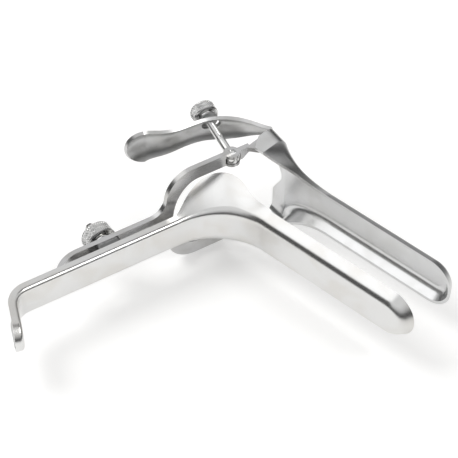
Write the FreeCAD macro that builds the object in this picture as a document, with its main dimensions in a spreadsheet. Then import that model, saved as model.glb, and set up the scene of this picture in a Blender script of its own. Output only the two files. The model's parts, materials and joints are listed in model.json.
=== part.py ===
import FreeCAD, Part

import math
import os

import Sketcher
from FreeCAD import Matrix, Placement, Vector

# Bivalve speculum of pressed sheet steel, lying on its side.
# The row frame: origin on the handle's broad face, on the axis of the locking stud; +X out of that face,
# towards the blade tips; +Y up the handle, towards the blades; +Z sideways, to the side with the thumb lever.

SIZES = {
    "sheet_wall": 1.3,
    "handle_width": 15.1,
    "handle_depth": 3.9,
    "handle_corner": 1.8,
    "handle_lean": 0.2,
    "handle_drop": 42.5,
    "hook_radius": 8.0,
    "hook_turn": 70.0,
    "hook_lip": 9.5,
    "bend_start": 31.05,
    "bend_radius": 28.0,
    "blade_slope": 14.0,
    "blade_width": 23.2,
    "blade_corner": 5.0,
    "blade_lean": 30.0,
    "blade_reach": 100.4,
    "blade_depth": 5.75,
    "wing_depth": 16.4,
    "wing_width": 32.4,
    "blade_gap": 23.45,
    "upper_start": 3.9,
    "flare_length": 29.1,
    "crown_rise": 2.0,
    "crown_fall": 1.8,
    "crown_corner": 7.0,
    "flare_corner": 8.0,
    "notch_front": 2.4,
    "notch_half": 11.2,
    "notch_rounding": 5.0,
    "ear_inside": 24.0,
    "ear_drop": 17.5,
    "ear_rear": -4.7,
    "ear_chamfer": 4.0,
    "ear_chamfer_height": 6.4,
    "hinge_x": -7.0,
    "hinge_y": 78.0,
    "hinge_rivet_diameter": 4.4,
    "hinge_head_diameter": 7.0,
    "hinge_head_height": 0.9,
    "running_clearance": 0.05,
    "side_clearance": 0.3,
    "yoke_face": -8.7,
    "yoke_thickness": 2.3,
    "yoke_width": 49.0,
    "arm_width": 6.1,
    "arm_top": 67.5,
    "arm_taper": 4.0,
    "neck_start": 6.0,
    "neck_end": 3.0,
    "stem_width": 11.2,
    "stem_bottom": -14.0,
    "fork_fillet": 8.0,
    "fork_radius": 13.8,
    "fork_height": 43.0,
    "opening_bottom": 32.2,
    "opening_centre": 45.5,
    "slot_travel": 20.5,
    "slot_clearance": 0.1,
    "foot_radius": 15.0,
    "foot_turn": 56.0,
    "paddle_thickness": 2.2,
    "paddle_radius": 4.3,
    "stud_diameter": 4.0,
    "stud_end": -24.4,
    "guide_length": 11.0,
    "guide_width": 9.6,
    "guide_corner": 1.2,
    "washer_diameter": 10.0,
    "washer_thickness": 0.8,
    "knob_diameter": 14.0,
    "knob_height": 6.2,
    "knob_hub_diameter": 8.8,
    "knob_hub_height": 1.6,
    "stud_stop_diameter": 5.6,
    "stud_stop_thickness": 1.2,
    "end_bevel": 0.5,
    "rod_diameter": 3.6,
    "rod_length": 35.0,
    "rod_height": 21.0,
    "rod_pivot_x": -9.85,
    "rod_pivot_y": 62.7,
    "rod_angle": 170.5,
    "rod_neck_radius": 1.3,
    "rod_neck_length": 3.8,
    "rod_eye_diameter": 6.6,
    "rod_eye_thickness": 2.7,
    "cheek_diameter": 7.2,
    "cheek_thickness": 1.3,
    "swivel_pin_diameter": 2.2,
    "eye_clearance": 0.5,
    "nut_seat": 25.5,
    "nut_diameter": 11.6,
    "nut_height": 5.4,
    "nut_hub_diameter": 7.4,
    "nut_hub_height": 1.4,
    "nut_washer_diameter": 8.6,
    "lever_wall": 1.5,
    "lever_dish": 2.2,
    "lever_outer_side": 25.4,
    "lever_width": 13.2,
    "lever_root_drop": 1.9,
    "pad_overhang": 1.8,
    "lever_hole_width": 5.2,
    "lever_hole_length": 8.4,
    "knurl_depth": 0.4,
    "knurl_teeth": 32,
}

doc = FreeCAD.newDocument("speculum")
sheet = doc.addObject("Spreadsheet::Sheet", "Sizes")
for row, (alias, value) in enumerate(SIZES.items(), start=1):
    sheet.set(f"A{row}", alias)
    sheet.set(f"B{row}", str(value))
    sheet.setAlias(f"B{row}", alias)
doc.recompute()

SIDE = Vector(0, 0, 1)
LINE = Part.LineSegment
# How far a cut reaches past the sheet it cuts.
MARGIN = 1.0


def size(alias):
    """A driving dimension, as the sheet holds it."""
    return float(sheet.get(alias))


def new_body(label):
    body = doc.addObject("PartDesign::Body", label)
    body.Label = label
    return body


def origin_plane(body, role):
    return next(item for item in body.Origin.OriginFeatures if item.Role == role)


def axes_at(origin, local_x, local_y):
    """A placement from its origin and the row directions of its local x and y."""
    normal = local_x.cross(local_y)
    return Placement(Matrix(
        local_x.x, local_y.x, normal.x, origin.x,
        local_x.y, local_y.y, normal.y, origin.y,
        local_x.z, local_y.z, normal.z, origin.z,
        0, 0, 0, 1))


def new_sketch(body, name, place=None, role="XY_Plane"):
    sketch = body.newObject("Sketcher::SketchObject", name)
    sketch.AttachmentSupport = [(origin_plane(body, role), "")]
    sketch.MapMode = "FlatFace"
    if place:
        sketch.AttachmentOffset = place
    return sketch


def constrain(sketch, kind, *values, name=None, formula=None):
    """Adds a constraint, and ties a named one to the sheet."""
    index = sketch.addConstraint(Sketcher.Constraint(kind, *values))
    if name:
        sketch.renameConstraint(index, name)
        sketch.setExpression(f"Constraints.{name}", formula)
    return index


def draw_circle(sketch, name, radius, formula, centre=Vector(0, 0, 0)):
    """A circle whose radius follows the sheet."""
    index = sketch.addGeometry(Part.Circle(centre, SIDE, radius), False)
    constrain(sketch, "Radius", index, radius, name=name, formula=formula)
    constrain(sketch, "DistanceX", -1, 1, index, 3, centre.x)
    constrain(sketch, "DistanceY", -1, 1, index, 3, centre.y)
    return index


def draw_rectangle(sketch, low, high):
    """A rectangle between two opposite corners."""
    corners = [Vector(low[0], low[1], 0), Vector(high[0], low[1], 0),
               Vector(high[0], high[1], 0), Vector(low[0], high[1], 0)]
    draw_outline(sketch, [LINE(a, b) for a, b in zip(corners, corners[1:] + corners[:1])])


def draw_outline(sketch, edges):
    """A closed outline of lines and arcs that already meet end to end."""
    sketch.addGeometry(edges, False)


def round_corners(points, radii):
    """Lines and tangent arcs along a closed polygon, each corner with its own radius."""
    corners = []
    count = len(points)
    for index, point in enumerate(points):
        before, after = points[index - 1], points[(index + 1) % count]
        radius = radii[index]
        to_before = before.sub(point).normalize()
        to_after = after.sub(point).normalize()
        half = to_before.getAngle(to_after) / 2
        reach = radius / math.tan(half) if radius else 0.0
        middle = to_before.add(to_after)
        if radius:
            middle.normalize()
        depth = (radius / math.sin(half) - radius) if radius else 0.0
        corners.append((point.add(to_before * reach), point.add(middle * depth), point.add(to_after * reach), radius))
    edges = []
    for index, (start, mid, end, radius) in enumerate(corners):
        if radius:
            edges.append(Part.Arc(start, mid, end))
        following = corners[(index + 1) % count][0]
        if end.distanceToPoint(following) > 1e-6:
            edges.append(LINE(end, following))
    return edges


def pad(body, sketch, name, length, formula=None, midplane=False, reverse=False):
    feature = body.newObject("PartDesign::Pad", name)
    feature.Profile = sketch
    feature.Length = length
    if formula:
        feature.setExpression("Length", formula)
    feature.Midplane = midplane
    feature.Reversed = reverse
    doc.recompute()
    return feature


def pocket(body, sketch, name, length=0.0, reverse=False, midplane=False):
    """A cut of the given depth; without a depth it runs through the whole body both ways."""
    before = body.Shape.Volume
    feature = body.newObject("PartDesign::Pocket", name)
    feature.Profile = sketch
    if length:
        feature.Length = length
        feature.Midplane = midplane
    else:
        feature.Type = "ThroughAll"
        feature.Midplane = True
    feature.Reversed = reverse
    doc.recompute()
    if feature.Shape.Volume >= before - 1e-6:
        raise RuntimeError(f"{name} cut nothing")
    return feature


def revolve(body, sketch, name, angle=360.0, axis="V_Axis", midplane=False, reverse=False):
    feature = body.newObject("PartDesign::Revolution", name)
    feature.Profile = sketch
    feature.ReferenceAxis = (sketch, [axis])
    feature.Angle = angle
    feature.Midplane = midplane
    feature.Reversed = reverse
    doc.recompute()
    return feature


# Pressed sheet. Every station of a pressing is the same channel: a floor, two rounded corners, two walls.
# Its local x is sideways, its local y points into the open side, and its local z runs along the pressing.

def channel_place(x, y, heading, sideways=0.0, opening=1):
    """The placement of a channel whose outer floor passes (x, y), run along the heading in degrees."""
    turn = math.radians(heading)
    inward = Vector(-math.sin(turn), math.cos(turn), 0) * opening
    along = Vector(math.cos(turn), math.sin(turn), 0)
    return axes_at(Vector(x, y, sideways), inward.cross(along), inward)


def channel_points(floor, rim, depth, corner, wall):
    """The wall's tangent direction and the end points of the right half of a channel."""
    reach = math.hypot(rim - floor, depth - corner)
    turn = math.atan2(depth - corner, rim - floor) - math.acos(min(1.0, corner / reach))
    outward = Vector(math.cos(turn), math.sin(turn), 0)
    centre = Vector(floor, corner, 0)
    outer = centre.add(outward * corner)
    inner = centre.add(outward * (corner - wall))
    top = Vector(rim, depth, 0)
    along = top.sub(outer).normalize()
    inner_top = inner.add(along * ((depth - inner.y) / along.y))
    return turn, centre, outer, inner, top, inner_top


def mirrored(point):
    return Vector(-point.x, point.y, 0)


def channel_sketch(body, name, place, floor, rim, depth, corner):
    """One station: half floor, half rim width, depth and corner radius, with the wall from the sheet."""
    sketch = new_sketch(body, name, place)
    thick = size("sheet_wall")
    turn, centre, outer, inner, top, inner_top = channel_points(floor, rim, depth, corner, thick)
    left = mirrored(centre)
    down = -math.pi / 2
    small = corner - thick

    def bow(middle, radius, start, end):
        return Part.ArcOfCircle(Part.Circle(middle, SIDE, radius), start, end)

    sketch.addGeometry([
        LINE(Vector(-floor, 0, 0), Vector(floor, 0, 0)),
        bow(centre, corner, down, turn),
        LINE(outer, top),
        LINE(top, inner_top),
        LINE(inner_top, inner),
        bow(centre, small, down, turn),
        LINE(Vector(floor, thick, 0), Vector(-floor, thick, 0)),
        bow(left, small, math.pi - turn, 1.5 * math.pi),
        LINE(mirrored(inner), mirrored(inner_top)),
        LINE(mirrored(inner_top), mirrored(top)),
        LINE(mirrored(top), mirrored(outer)),
        bow(left, corner, math.pi - turn, 1.5 * math.pi),
    ], False)
    for first, end, second, start in ((0, 2, 1, 1), (1, 2, 2, 1), (4, 2, 5, 2), (5, 1, 6, 1),
                                      (6, 2, 7, 2), (7, 1, 8, 1), (10, 2, 11, 1), (11, 2, 0, 1)):
        constrain(sketch, "Tangent", first, end, second, start)
    for first, second in ((2, 3), (3, 4), (8, 9), (9, 10)):
        constrain(sketch, "Coincident", first, 2, second, 1)
    constrain(sketch, "Horizontal", 3)
    constrain(sketch, "Horizontal", 9)
    constrain(sketch, "Parallel", 2, 4)
    constrain(sketch, "Parallel", 8, 10)
    constrain(sketch, "Coincident", 1, 3, 5, 3)
    constrain(sketch, "Coincident", 11, 3, 7, 3)
    constrain(sketch, "Symmetric", 0, 1, 0, 2, -2)
    constrain(sketch, "PointOnObject", 0, 1, -1)
    constrain(sketch, "Symmetric", 2, 2, 9, 2, -2)
    constrain(sketch, "DistanceX", 0, 1, 0, 2, 2 * floor)
    constrain(sketch, "DistanceX", 10, 1, 2, 2, 2 * rim)
    constrain(sketch, "DistanceY", -1, 1, 2, 2, depth)
    constrain(sketch, "Radius", 1, corner)
    constrain(sketch, "Radius", 11, corner)
    constrain(sketch, "Radius", 5, small, name="inner_right", formula=f"{corner} - Sizes.sheet_wall")
    constrain(sketch, "Radius", 7, small, name="inner_left", formula=f"{corner} - Sizes.sheet_wall")
    return sketch


def loft(body, name, sketches):
    """A smooth pressing through sketches that hold the same edges in the same order."""
    doc.recompute()
    feature = body.newObject("PartDesign::AdditiveLoft", name)
    feature.Profile = sketches[0]
    feature.Sections = sketches[1:]
    feature.Ruled = False
    doc.recompute()
    return feature


def press(body, name, stations):
    """A smooth pressing through channel stations."""
    sketches = [channel_sketch(body, f"{name}_{index:02d}", *station) for index, station in enumerate(stations)]
    return loft(body, name, sketches)


def straight(body, name, place, section, length, formula):
    """A straight length of channel from a place along its heading."""
    sketch = channel_sketch(body, f"{name}_section", place, *section)
    doc.recompute()
    return pad(body, sketch, name, length, formula)


def curled(body, name, place, section, radius, angle):
    """A channel bent away from its open side, about a line at a radius from its outer floor."""
    sketch = channel_sketch(body, f"{name}_section", place, *section)
    sketch.addGeometry(LINE(Vector(-1, -radius, 0), Vector(1, -radius, 0)), True)
    doc.recompute()
    return revolve(body, sketch, name, angle, axis="Axis0", reverse=True)


def half_channel(floor, rim, depth, corner):
    """The right half of a channel, closed along its middle."""
    wall = size("sheet_wall")
    turn, centre, outer, inner, top, inner_top = channel_points(floor, rim, depth, corner, wall)
    down = -math.pi / 2
    return [
        LINE(Vector(0, 0, 0), Vector(floor, 0, 0)),
        Part.ArcOfCircle(Part.Circle(centre, SIDE, corner), down, turn),
        LINE(outer, top),
        LINE(top, inner_top),
        LINE(inner_top, inner),
        Part.ArcOfCircle(Part.Circle(centre, SIDE, corner - wall), down, turn),
        LINE(Vector(floor, wall, 0), Vector(0, wall, 0)),
        LINE(Vector(0, wall, 0), Vector(0, 0, 0)),
    ]


def spoon_end(body, name, place, half_outline):
    """The rounded end of a pressing: half of its last station, turned half round about the middle."""
    sketch = new_sketch(body, f"{name}_half", place)
    draw_outline(sketch, half_outline)
    return revolve(body, sketch, name, 180.0, reverse=True)


# Places along the pressings.

slope = math.radians(size("blade_slope"))
blade_turn = math.pi / 2 - slope
blade_along = Vector(math.cos(slope), math.sin(slope), 0)
blade_inward = Vector(-math.sin(slope), math.cos(slope), 0)
bend_reach = size("bend_radius") * math.tan(blade_turn / 2)
blade_corner_point = Vector(0, size("bend_start") + bend_reach, 0)
blade_half = size("blade_width") / 2
handle_half = size("handle_width") / 2
tip_centre = size("blade_reach") - blade_half


def on_hook(turn):
    """A place on the hook at the handle's lower end, by its turn in degrees from the handle."""
    radius = size("hook_radius")
    angle = math.radians(turn)
    return (radius * (1 - math.cos(angle)), -size("handle_drop") - radius * math.sin(angle), 90 + turn)


def on_handle(height):
    return (0, height, 90)


def on_bend(share):
    """A place on the bend from handle to blade, by its share of the turn."""
    angle = share * blade_turn
    radius = size("bend_radius")
    return (radius * (1 - math.cos(angle)), size("bend_start") + radius * math.sin(angle), 90 - math.degrees(angle))


def on_blade(along, away=0.0):
    """A place at a length along the blade from the corner, and at a height from its floor line."""
    point = blade_corner_point.add(blade_along * along).add(blade_inward * away)
    return (point.x, point.y, size("blade_slope"))


def between(start, end, share):
    return start + (end - start) * share


def leaning_floor(rim, depth, corner, lean):
    """Half the flat floor of a channel whose walls lean outwards by an angle in degrees."""
    tilt = math.radians(lean)
    return rim - corner * math.cos(tilt) - (depth - corner * (1 - math.sin(tilt))) * math.tan(tilt)


# Lower blade and handle, one pressing. The rim rises into a wing on either side of the bend.

lower_blade = new_body("lower_blade")
corner_handle = size("handle_corner")
corner_blade = size("blade_corner")
depth_handle = size("handle_depth")
depth_blade = size("blade_depth")
wing_depth = size("wing_depth")
wing_half = size("wing_width") / 2
floor_handle = handle_half - corner_handle - size("handle_lean")
floor_blade = leaning_floor(blade_half, depth_blade, corner_blade, size("blade_lean"))
handle_section = (floor_handle, handle_half, depth_handle, corner_handle)
blade_section = (floor_blade, blade_half, depth_blade, corner_blade)
WING = (
    # share of the bend, then shares of the way to the wing's width, to its depth and to the blade's corners
    (0.12, 0.20, 0.32, 0.15),
    (0.24, 0.52, 0.72, 0.35),
    (0.36, 0.82, 0.98, 0.60),
    (0.48, 1.00, 1.00, 0.85),
)
WING_TO_BLADE = ((0.60, 0.92, 0.78), (0.72, 0.55, 0.32), (0.86, 0.20, 0.08))
straight(lower_blade, "handle", channel_place(*on_handle(-size("handle_drop"))), handle_section,
         size("handle_drop") + size("bend_start"), "Sizes.handle_drop + Sizes.bend_start")
curled(lower_blade, "hook", channel_place(*on_handle(-size("handle_drop"))), handle_section, size("hook_radius"),
       size("hook_turn"))
hook_x, hook_y, hook_heading = on_hook(size("hook_turn"))
straight(lower_blade, "hook_lip", channel_place(hook_x, hook_y, hook_heading + 180, opening=-1), handle_section,
         size("hook_lip"), "Sizes.hook_lip")
lip_turn = math.radians(hook_heading + 180)
lip_x = hook_x + size("hook_lip") * math.cos(lip_turn)
lip_y = hook_y + size("hook_lip") * math.sin(lip_turn)
spoon_end(lower_blade, "hook_end", channel_place(lip_x, lip_y, hook_heading + 180, opening=-1),
          half_channel(*handle_section))
stations = [(channel_place(*on_handle(size("bend_start"))), *handle_section)]
for share, wide, deep, rounder in WING:
    rim = between(handle_half, wing_half, wide)
    floor = between(floor_handle, floor_blade, rounder)
    stations.append((channel_place(*on_bend(share)), floor, rim, between(depth_handle, wing_depth, deep),
                     between(corner_handle, corner_blade, rounder)))
for share, wide, deep in WING_TO_BLADE:
    stations.append((channel_place(*on_bend(share)), floor_blade, between(blade_half, wing_half, wide),
                     between(depth_blade, wing_depth, deep), corner_blade))
stations.append((channel_place(*on_bend(1.0)), *blade_section))
press(lower_blade, "bend", stations)
straight(lower_blade, "lower_trough", channel_place(*on_blade(bend_reach)), blade_section, tip_centre - bend_reach, None)
spoon_end(lower_blade, "lower_tip", channel_place(*on_blade(tip_centre)), half_channel(*blade_section))

# Upper blade: the same channel upside down. It widens behind into two flat ears that carry the hinge.

upper_blade = new_body("upper_blade")
ear_outside = size("ear_inside") + size("sheet_wall")
upper_rim = depth_blade + size("blade_gap")
crown = upper_rim + depth_blade
crown_rise = size("crown_rise")
crown_corner = size("crown_corner")
upper_start = size("upper_start")
flare_length = size("flare_length")
flare_corner = size("flare_corner")
flare_top = crown + crown_rise - size("crown_fall")
ear_low = crown + crown_rise - size("ear_drop")
FLARE = (
    # shares of the flare's length, then of the way to the ears' width at floor and rim, to their depth, and of the rise
    (0.000, 1.00, 1.00, 1.00, 1.00),
    (0.080, 0.68, 0.78, 0.76, 0.80),
    (0.190, 0.43, 0.54, 0.49, 0.55),
    (0.360, 0.21, 0.31, 0.21, 0.30),
    (0.570, 0.08, 0.13, 0.07, 0.12),
    (0.820, 0.01, 0.03, 0.00, 0.02),
    (1.000, 0.00, 0.00, 0.00, 0.00),
)
stations = []
for ahead, wide_floor, wide_rim, deep, rise in FLARE:
    rim = between(blade_half, ear_outside, wide_rim)
    floor = between(floor_blade, ear_outside - flare_corner, wide_floor)
    depth = between(depth_blade, flare_top - ear_low, deep)
    corner = between(corner_blade, flare_corner, wide_floor)
    place = channel_place(*on_blade(upper_start + flare_length * ahead, between(crown, flare_top, rise)), opening=-1)
    stations.append((place, floor, rim, depth, corner))
press(upper_blade, "flare", stations)
trough_start = upper_start + flare_length
straight(upper_blade, "upper_trough", channel_place(*on_blade(trough_start, crown), opening=-1), blade_section,
         tip_centre - trough_start, None)
spoon_end(upper_blade, "upper_tip", channel_place(*on_blade(tip_centre, crown), opening=-1), half_channel(*blade_section))
ear_rear = size("ear_rear")
saddle_rear = (channel_place(*on_blade(ear_rear, crown + crown_rise), opening=-1), ear_outside - crown_corner, ear_outside,
               size("ear_drop"), crown_corner)
press(upper_blade, "saddle", [saddle_rear, stations[0]])

# The saddle's crown is cut back in the middle, its walls are the flat ears that turn on the frame.

hinge = Vector(size("hinge_x"), size("hinge_y"), 0)


def flat_place(height, mirror=False):
    """A sketch place parallel to the row's XY plane at a height on the near side, or mirrored on the far side."""
    if mirror:
        return axes_at(Vector(0, 0, -height), Vector(0, 1, 0), Vector(1, 0, 0))
    return axes_at(Vector(0, 0, height), Vector(1, 0, 0), Vector(0, 1, 0))


def flat_point(x, y, mirror=False):
    return Vector(y, x, 0) if mirror else Vector(x, y, 0)


def tangent_from(point, centre, radius, side):
    """Where the tangent from a point meets a circle, on the side given as 1 or -1."""
    away = point.sub(centre)
    reach = away.Length
    turn = math.atan2(away.y, away.x) + side * math.acos(radius / reach)
    return centre.add(Vector(radius * math.cos(turn), radius * math.sin(turn), 0))


def eye_outline(root_low, root_high, centre, radius, mirror):
    """A tongue from two root points round an eye."""
    low = tangent_from(root_low, centre, radius, 1)
    high = tangent_from(root_high, centre, radius, -1)
    back = centre.sub(root_low.add(root_high) * 0.5).normalize()
    crown = centre.add(back * radius)
    low, high, crown, first, last = (flat_point(p.x, p.y, mirror) for p in (low, high, crown, root_low, root_high))
    return [LINE(first, low), Part.Arc(low, crown, high), LINE(high, last), LINE(last, first)]


def on_side(along, away):
    """A point of the side view at a length along the blade from the corner and a height from its floor line."""
    x, y, heading = on_blade(along, away)
    return Vector(x, y, 0)


notch = new_sketch(upper_blade, "notch_outline", axes_at(on_side(0, crown), blade_along, SIDE))
notch_front = size("notch_front")
notch_half = size("notch_half")
behind = ear_rear - 2 * MARGIN
notch_points = [Vector(notch_front, 0, 0), Vector(ear_rear, notch_half, 0), Vector(behind, notch_half, 0),
                Vector(behind, -notch_half, 0), Vector(ear_rear, -notch_half, 0)]
draw_outline(notch, round_corners(notch_points, [size("notch_rounding"), 0, 0, 0, 0]))
pocket(upper_blade, notch, "crown_notch")
chamfer = size("ear_chamfer")
trim_top = ear_low + size("ear_chamfer_height")
trim = new_sketch(upper_blade, "ear_trim_outline")
trim_points = [on_side(along, away) for along, away in (
    (ear_rear - MARGIN, ear_low - MARGIN), (ear_rear + chamfer, ear_low - MARGIN), (ear_rear + chamfer, ear_low),
    (ear_rear, trim_top), (ear_rear - MARGIN, trim_top))]
draw_outline(trim, [LINE(a, b) for a, b in zip(trim_points, trim_points[1:] + trim_points[:1])])
pocket(upper_blade, trim, "ear_trim")
hinge_bore = new_sketch(upper_blade, "hinge_bore")
draw_circle(hinge_bore, "radius", size("hinge_rivet_diameter") / 2, "Sizes.hinge_rivet_diameter / 2", hinge)
pocket(upper_blade, hinge_bore, "hinge_bores")

# The frame: a flat ring that slides on the handle, its arms turned edgeways into two hinge paddles.

yoke_frame = new_body("yoke_frame")
yoke_face = size("yoke_face")
yoke_back = yoke_face - size("yoke_thickness")
arm_out = size("yoke_width") / 2
arm_in = arm_out - size("arm_width")
stem = size("stem_width") / 2
paddle_out = size("ear_inside") - size("side_clearance")
paddle_in = paddle_out - size("paddle_thickness")
fork_radius = size("fork_radius")
fillet = size("fork_fillet")
fork_centre = Vector(arm_out - fork_radius, size("fork_height"), 0)
fillet_side = stem + fillet
fillet_centre = Vector(fillet_side, fork_centre.y - math.sqrt((fork_radius + fillet) ** 2
                                                              - (fillet_side - fork_centre.x) ** 2), 0)
fork_join = fork_centre.add(fillet_centre.sub(fork_centre).normalize() * fork_radius)


def on_circle(centre, radius, degrees):
    angle = math.radians(degrees)
    return centre.add(Vector(radius * math.cos(angle), radius * math.sin(angle), 0))


def degrees_of(point, centre):
    return math.degrees(math.atan2(point.y - centre.y, point.x - centre.x))


def yoke_half():
    """The frame's outline on the near side, from the foot up and down again to the opening."""
    arm_top = size("arm_top")
    taper = arm_top + size("arm_taper")
    low = Vector(stem, size("stem_bottom"), 0)
    fillet_start = Vector(stem, fillet_centre.y, 0)
    fillet_mid = on_circle(fillet_centre, fillet, (180 + degrees_of(fork_join, fillet_centre)) / 2)
    fork_mid = on_circle(fork_centre, fork_radius, degrees_of(fork_join, fork_centre) / 2)
    fork_end = Vector(arm_out, fork_centre.y, 0)
    points = [fork_end, Vector(arm_out, arm_top - size("neck_start"), 0),
              Vector(paddle_out, arm_top - size("neck_end"), 0),
              Vector(paddle_out, taper, 0), Vector(paddle_in, taper, 0), Vector(arm_in, arm_top, 0),
              Vector(arm_in, size("opening_centre"), 0)]
    return ([LINE(low, fillet_start), Part.Arc(fillet_start, fillet_mid, fork_join),
             Part.Arc(fork_join, fork_mid, fork_end)]
            + [LINE(a, b) for a, b in zip(points, points[1:])])


def mirror_edge(edge):
    """The same edge on the other side, run the other way."""
    if isinstance(edge, Part.LineSegment):
        return LINE(mirrored(edge.EndPoint), mirrored(edge.StartPoint))
    middle = edge.value((edge.FirstParameter + edge.LastParameter) / 2)
    return Part.Arc(mirrored(edge.EndPoint), mirrored(middle), mirrored(edge.StartPoint))


def facing_back(x, y=0.0):
    """A sketch place across the handle: local x sideways, local y up the handle, normal to the back."""
    return axes_at(Vector(x, y, 0), Vector(0, 0, 1), Vector(0, 1, 0))


opening_depth = size("opening_centre") - size("opening_bottom")
opening = Part.ArcOfEllipse(Part.Ellipse(Vector(0, size("opening_centre"), 0), arm_in, opening_depth),
                            math.pi, 2 * math.pi)
outline = new_sketch(yoke_frame, "ring_outline", facing_back(yoke_face))
draw_outline(outline, yoke_half() + [opening] + [mirror_edge(edge) for edge in reversed(yoke_half())]
             + [LINE(Vector(-stem, size("stem_bottom"), 0), Vector(stem, size("stem_bottom"), 0))])
pad(yoke_frame, outline, "ring", size("yoke_thickness"), "Sizes.yoke_thickness")

foot_centre = yoke_face - size("yoke_thickness") / 2 + size("foot_radius")
foot = new_sketch(yoke_frame, "foot_section",
                  axes_at(Vector(foot_centre, size("stem_bottom"), 0), Vector(1, 0, 0), Vector(0, 0, 1)))
draw_rectangle(foot, (yoke_back - foot_centre, -stem), (yoke_face - foot_centre, stem))
revolve(yoke_frame, foot, "foot", size("foot_turn"))

for mirror in (False, True):
    side = "far" if mirror else "near"
    tongue = new_sketch(yoke_frame, f"{side}_paddle_outline", flat_place(paddle_in, mirror))
    root_front = Vector(yoke_face, size("arm_top"), 0)
    root_back = Vector(yoke_back, size("arm_top"), 0)
    draw_outline(tongue, eye_outline(root_back, root_front, hinge, size("paddle_radius"), mirror))
    pad(yoke_frame, tongue, f"{side}_paddle", size("paddle_thickness"), "Sizes.paddle_thickness")

slot_half = size("stud_diameter") / 2 + size("slot_clearance")
slot = new_sketch(yoke_frame, "slot_outline", facing_back(0))
slot_top = size("slot_travel")
draw_outline(slot, [
    LINE(Vector(slot_half, 0, 0), Vector(slot_half, slot_top, 0)),
    Part.Arc(Vector(slot_half, slot_top, 0), Vector(0, slot_top + slot_half, 0), Vector(-slot_half, slot_top, 0)),
    LINE(Vector(-slot_half, slot_top, 0), Vector(-slot_half, 0, 0)),
    Part.Arc(Vector(-slot_half, 0, 0), Vector(0, -slot_half, 0), Vector(slot_half, 0, 0)),
])
pocket(yoke_frame, slot, "slide_slot")

pivot = Vector(size("rod_pivot_x"), size("rod_pivot_y"), 0)
rod_height = size("rod_height")
eye_half = size("rod_eye_thickness") / 2 + size("running_clearance")
window = new_sketch(yoke_frame, "eye_window_outline", facing_back(0))
window_reach = size("rod_eye_diameter") / 2 + size("eye_clearance")
for low, high, cheek in ((rod_height - eye_half - size("cheek_thickness"), rod_height - eye_half, "inner"),
                         (rod_height + eye_half, rod_height + eye_half + size("cheek_thickness"), "outer")):
    lug = new_sketch(yoke_frame, f"{cheek}_cheek_outline", flat_place(low))
    draw_circle(lug, "radius", size("cheek_diameter") / 2, "Sizes.cheek_diameter / 2", pivot)
    pad(yoke_frame, lug, f"{cheek}_cheek", size("cheek_thickness"), "Sizes.cheek_thickness")
draw_rectangle(window, (rod_height - eye_half, pivot.y - window_reach), (rod_height + eye_half, pivot.y + window_reach))
pocket(yoke_frame, window, "eye_window")
swivel_bore = new_sketch(yoke_frame, "swivel_bore_outline", flat_place(rod_height))
draw_circle(swivel_bore, "radius", size("swivel_pin_diameter") / 2, "Sizes.swivel_pin_diameter / 2", pivot)
pocket(yoke_frame, swivel_bore, "swivel_bore", 3 * size("rod_eye_thickness"), midplane=True)
paddle_bore = new_sketch(yoke_frame, "paddle_bore_outline")
draw_circle(paddle_bore, "radius", size("hinge_rivet_diameter") / 2 + size("running_clearance"),
            "Sizes.hinge_rivet_diameter / 2 + Sizes.running_clearance", hinge)
pocket(yoke_frame, paddle_bore, "paddle_bores")


# Turned pieces: a profile of radius and height, revolved about the local y axis.

def turned_place(origin, axis):
    """A place whose local y is the turning axis."""
    across = SIDE if abs(axis.z) < 0.9 else Vector(1, 0, 0)
    return axes_at(origin, axis.cross(across), axis)


def turned(label, origin, axis, profile, body=None, name="turning"):
    """A body of revolution from (radius, height) points along an axis."""
    body = body or new_body(label)
    sketch = new_sketch(body, f"{name}_profile", turned_place(origin, axis))
    points = [Vector(radius, height, 0) for radius, height in profile]
    draw_outline(sketch, [LINE(a, b) for a, b in zip(points, points[1:] + points[:1])])
    revolve(body, sketch, name)
    return body


def bore(body, origin, axis, length, radius, formula):
    """A round hole along an axis."""
    sketch = new_sketch(body, "bore_outline", axes_at(origin, *across_axes(axis)))
    draw_circle(sketch, "radius", radius, formula)
    pocket(body, sketch, "bore", 2 * length, midplane=True)


def across_axes(axis):
    """Two directions across an axis, so that they and the axis are right-handed."""
    first = axis.cross(SIDE if abs(axis.z) < 0.9 else Vector(1, 0, 0)).normalize()
    return first, axis.cross(first)


def knurled(label, origin, axis, hub_radius, hub_height, radius, height):
    """A knurled nut: a plain hub below, a toothed rim above it with bevelled edges."""
    body = new_body(label)
    teeth = int(size("knurl_teeth"))
    rim = new_sketch(body, "rim_outline", axes_at(origin.add(axis * hub_height), *across_axes(axis)))
    points = []
    for index in range(2 * teeth):
        reach = radius - (index % 2) * size("knurl_depth")
        points.append(on_circle(Vector(0, 0, 0), reach, 180 * index / teeth))
    draw_outline(rim, [LINE(a, b) for a, b in zip(points, points[1:] + points[:1])])
    pad(body, rim, "rim", height)
    turned(label, origin, axis, [(0, 0), (hub_radius, 0), (hub_radius, hub_height + height / 2), (0, hub_height + height / 2)],
           body, "hub")
    bevel = 2 * size("knurl_depth")
    for name, base, direction in (("lower", hub_height, 1), ("upper", hub_height + height, -1)):
        edge = new_sketch(body, f"{name}_bevel", turned_place(origin.add(axis * base), axis))
        past = radius + MARGIN
        corner = [Vector(past, -MARGIN * direction, 0), Vector(radius - bevel, -MARGIN * direction, 0),
                  Vector(radius - bevel, 0, 0), Vector(past, (bevel + MARGIN) * direction, 0)]
        draw_outline(edge, [LINE(a, b) for a, b in zip(corner, corner[1:] + corner[:1])])
        groove = body.newObject("PartDesign::Groove", f"{name}_groove")
        groove.Profile = edge
        groove.ReferenceAxis = (edge, ["V_Axis"])
        groove.Angle = 360
        doc.recompute()
    return body


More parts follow.
